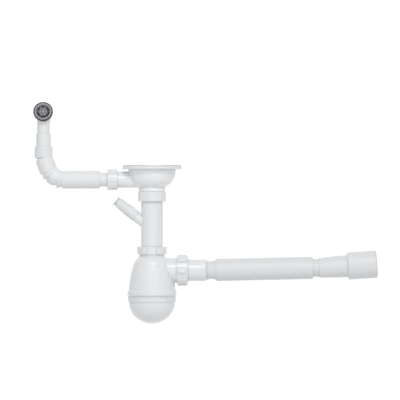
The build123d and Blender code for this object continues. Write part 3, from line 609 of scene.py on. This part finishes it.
class TRAP_OT_plastic(bpy.types.Operator):
    """Give the moulded pieces and the hoses their white plastic"""

    bl_idname = "trap.plastic"
    bl_label = "White Plastic"

    def execute(self, context):
        colours = context.scene.trap_finish
        white = moulded_material("white_moulding", colours.plastic, roughness=0.22, grain=900.0)
        # The bowl's plastic carries painted light near the waste's axis
        cup = moulded_material("cup_plastic_painted_light", colours.plastic, roughness=0.15, grain=900.0, thin=colours.cup)
        dress(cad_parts["waste_cup"], cup)
        # The blown hoses take a lighter painted shade in their corners
        blown = {"roughness": 0.42, "grain": 700.0, "groove_shaded": True, "painted_corner_shade": HOSE_PAINTED_CORNER_SHADE}
        outlet = moulded_material("outlet_plastic", colours.outlet, **blown)
        hose = moulded_material("hose_plastic", colours.hose, **blown)
        for node in WHITE_NODES:
            dress(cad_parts[node], white)
        nozzle = moulded_material("nozzle_plastic", colours.nozzle, roughness=0.4, grain=900.0)
        for node in NOZZLE_NODES:
            dress(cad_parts[node], nozzle)
        for node in OUTLET_NODES:
            dress(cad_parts[node], outlet)
        dress(bpy.data.objects["outlet_hose_skin"], outlet)
        dress(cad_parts["overflow_hose"], hose)
        dress(bpy.data.objects["overflow_hose_skin"], hose)
        return {"FINISHED"}


class TRAP_OT_rubber(bpy.types.Operator):
    """Give the seals and gaskets their grey rubber"""

    bl_idname = "trap.rubber"
    bl_label = "Rubber Seals"

    def execute(self, context):
        colours = context.scene.trap_finish
        rubber = moulded_material("grey_rubber", colours.rubber, roughness=0.62, grain=1600.0,
                                  tone=0.12, bump=0.35)
        for node in RUBBER_NODES:
            dress(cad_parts[node], rubber)
        pale = {"flange_gasket": colours.gasket, "sump_seal": colours.seal}
        for node, colour in pale.items():
            dress(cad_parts[node], moulded_material(node + "_rubber", colour, roughness=0.55, grain=1600.0,
                                                         tone=0.08, bump=0.3, painted_corner_shade=1.0))
        return {"FINISHED"}


class TRAP_OT_metal(bpy.types.Operator):
    """Give the strainer, the rosette, the screws and the insert their metals"""

    bl_idname = "trap.metal"
    bl_label = "Metal Pieces"

    def execute(self, context):
        colours = context.scene.trap_finish
        head = {"place_at": HEAD_CENTRE, "tilt": radians(90) - HEAD_TILT}
        finishes = {
            "strainer": turned_material("strainer_steel", colours.steel, 0.28, 2500.0),
            "overflow_rosette": turned_material("rosette_steel", colours.rosette, 0.3, 2500.0,
                                                rings=ROSETTE_PAINTED_LIGHT, **head),
            "strainer_screw": turned_material("strainer_screw_steel", colours.screw, 0.2, 4000.0),
            "overflow_screw": turned_material("rosette_screw_steel", colours.rosette_screw, 0.3, 4000.0,
                                              **head),
            "clamp_insert": turned_material("insert_brass", colours.brass, 0.3, 3000.0),
        }
        for node, material in finishes.items():
            dress(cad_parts[node], material)
        return {"FINISHED"}


def white_to_camera(tree):
    """Mask of the rays that show the background itself: seen directly, in gloss or through glass."""
    rays = tree.nodes.new("ShaderNodeLightPath")
    seen = add_node(tree, "ShaderNodeMath",
                    {0: rays.outputs["Is Camera Ray"], 1: rays.outputs["Is Glossy Ray"]}, operation="MAXIMUM")
    through = add_node(tree, "ShaderNodeMath",
                       {0: seen.outputs[0], 1: rays.outputs["Is Transmission Ray"]}, operation="MAXIMUM")
    return through.outputs[0]


def area_lamp(name, place, aim, size, power):
    """Add a rectangular area lamp that faces a point."""
    lamp = bpy.data.lights.new(name, "AREA")
    lamp.shape = "RECTANGLE"
    lamp.size, lamp.size_y = size
    lamp.energy = power
    holder = bpy.data.objects.new(name, lamp)
    bpy.context.scene.collection.objects.link(holder)
    holder.location = place
    way = np.array(aim) - np.array(place)
    flat = float(np.hypot(way[0], way[1]))
    holder.rotation_euler = (float(np.arctan2(flat, -way[2])), 0.0, float(np.arctan2(-way[0], way[1])))
    return holder


def white_room(ambient):
    """White surroundings, which light the trap less strongly than the camera sees them."""
    world = bpy.data.worlds.new("white_room")
    world.use_nodes = True
    tree = world.node_tree
    tree.nodes.clear()
    plain = add_node(tree, "ShaderNodeBackground", {"Color": ROOM_TINT, "Strength": ambient})
    white = add_node(tree, "ShaderNodeBackground", {"Color": (1.0, 1.0, 1.0, 1.0), "Strength": ROOM_WHITE})
    mix = add_node(tree, "ShaderNodeMixShader",
                   {0: white_to_camera(tree), 1: plain.outputs[0], 2: white.outputs[0]})
    add_node(tree, "ShaderNodeOutputWorld", {"Surface": mix.outputs[0]})
    return world


def floor_material():
    """Pale paint that shows white to the camera, keeps shadows, and is clear from below."""
    material = bpy.data.materials.new("pale_floor")
    material.use_nodes = True
    tree = material.node_tree
    tree.nodes.clear()
    paint = add_node(tree, "ShaderNodeBsdfDiffuse", {"Color": (FLOOR_TONE, FLOOR_TONE, FLOOR_TONE, 1.0)})
    glow = add_node(tree, "ShaderNodeEmission", {"Color": (1.0, 1.0, 1.0, 1.0), "Strength": FLOOR_GLOW})
    lit = add_node(tree, "ShaderNodeAddShader", {0: paint.outputs[0], 1: glow.outputs[0]})
    mix = add_node(tree, "ShaderNodeMixShader",
                   {0: white_to_camera(tree), 1: paint.outputs[0], 2: lit.outputs[0]})
    side = tree.nodes.new("ShaderNodeNewGeometry")
    clear = tree.nodes.new("ShaderNodeBsdfTransparent")
    shown = add_node(tree, "ShaderNodeMixShader",
                     {0: side.outputs["Backfacing"], 1: mix.outputs[0], 2: clear.outputs[0]})
    add_node(tree, "ShaderNodeOutputMaterial", {"Surface": shown.outputs[0]})
    return material


class TRAP_OT_stage(bpy.types.Operator):
    """Set the pale floor, the white surroundings, the lamps and the camera"""

    bl_idname = "trap.stage"
    bl_label = "Stage"

    def execute(self, context):
        stage = context.scene.trap_stage
        scene = context.scene
        scene.view_settings.view_transform = "Standard"
        scene.world = white_room(stage.ambient)

        half = FLOOR_HALF
        corners = np.array([[-half, -half], [half, -half], [half, half], [-half, half]])
        spread = np.column_stack([corners, np.full(4, stage.floor)])
        mesh = bpy.data.meshes.new("floor")
        mesh.from_pydata(spread, [], [[0, 1, 2, 3]])
        floor = bpy.data.objects.new("floor", mesh)
        scene.collection.objects.link(floor)
        dress(floor, floor_material())

        aim = np.array(stage.aim)
        area_lamp("key_lamp", aim + np.array(stage.key_place), aim, stage.key_size, stage.key)
        area_lamp("fill_lamp", aim + np.array(stage.fill_place), aim, stage.fill_size, stage.fill)
        area_lamp("back_lamp", aim + np.array(stage.back_place), aim, stage.fill_size, stage.back)

        eye = bpy.data.cameras.new("camera")
        eye.lens = stage.lens
        eye.sensor_width = SENSOR_WIDTH
        eye.clip_end = CLIP_END
        camera = bpy.data.objects.new("camera", eye)
        scene.collection.objects.link(camera)
        camera.location = aim - np.array([0.0, stage.distance, 0.0])
        camera.rotation_euler = (radians(90), 0.0, 0.0)
        scene.camera = camera
        return {"FINISHED"}


class TRAP_PT_sidebar(bpy.types.Panel):
    """Buttons and sizes of the trap's finish"""

    bl_idname = "TRAP_PT_sidebar"
    bl_label = "Sink Trap"
    bl_space_type = "VIEW_3D"
    bl_region_type = "UI"
    bl_category = "Trap"

    def draw(self, context):
        layout = self.layout
        for settings in ("trap_hoses", "trap_finish", "trap_stage"):
            holder = getattr(context.scene, settings)
            box = layout.box()
            for name in holder.__annotations__:
                box.prop(holder, name)
        for operator in OPERATORS:
            layout.operator(operator.bl_idname)


SETTINGS = {"trap_hoses": TrapHoseSettings, "trap_finish": TrapFinishSettings, "trap_stage": TrapStageSettings}
OPERATORS = (TRAP_OT_outlet_hose, TRAP_OT_overflow_hose, TRAP_OT_plastic, TRAP_OT_rubber, TRAP_OT_metal,
             TRAP_OT_stage)


def register():
    for name, settings in SETTINGS.items():
        bpy.utils.register_class(settings)
        setattr(bpy.types.Scene, name, bpy.props.PointerProperty(type=settings))
    for kind in OPERATORS + (TRAP_PT_sidebar,):
        bpy.utils.register_class(kind)


def unregister():
    for kind in (TRAP_PT_sidebar,) + OPERATORS[::-1]:
        bpy.utils.unregister_class(kind)
    for name, settings in SETTINGS.items():
        delattr(bpy.types.Scene, name)
        bpy.utils.unregister_class(settings)


def main():
    register()
    bpy.ops.trap.outlet_hose()
    bpy.ops.trap.overflow_hose()
    bpy.ops.trap.plastic()
    bpy.ops.trap.rubber()
    bpy.ops.trap.metal()
    bpy.ops.trap.stage()


if __name__ == "__main__":
    main()
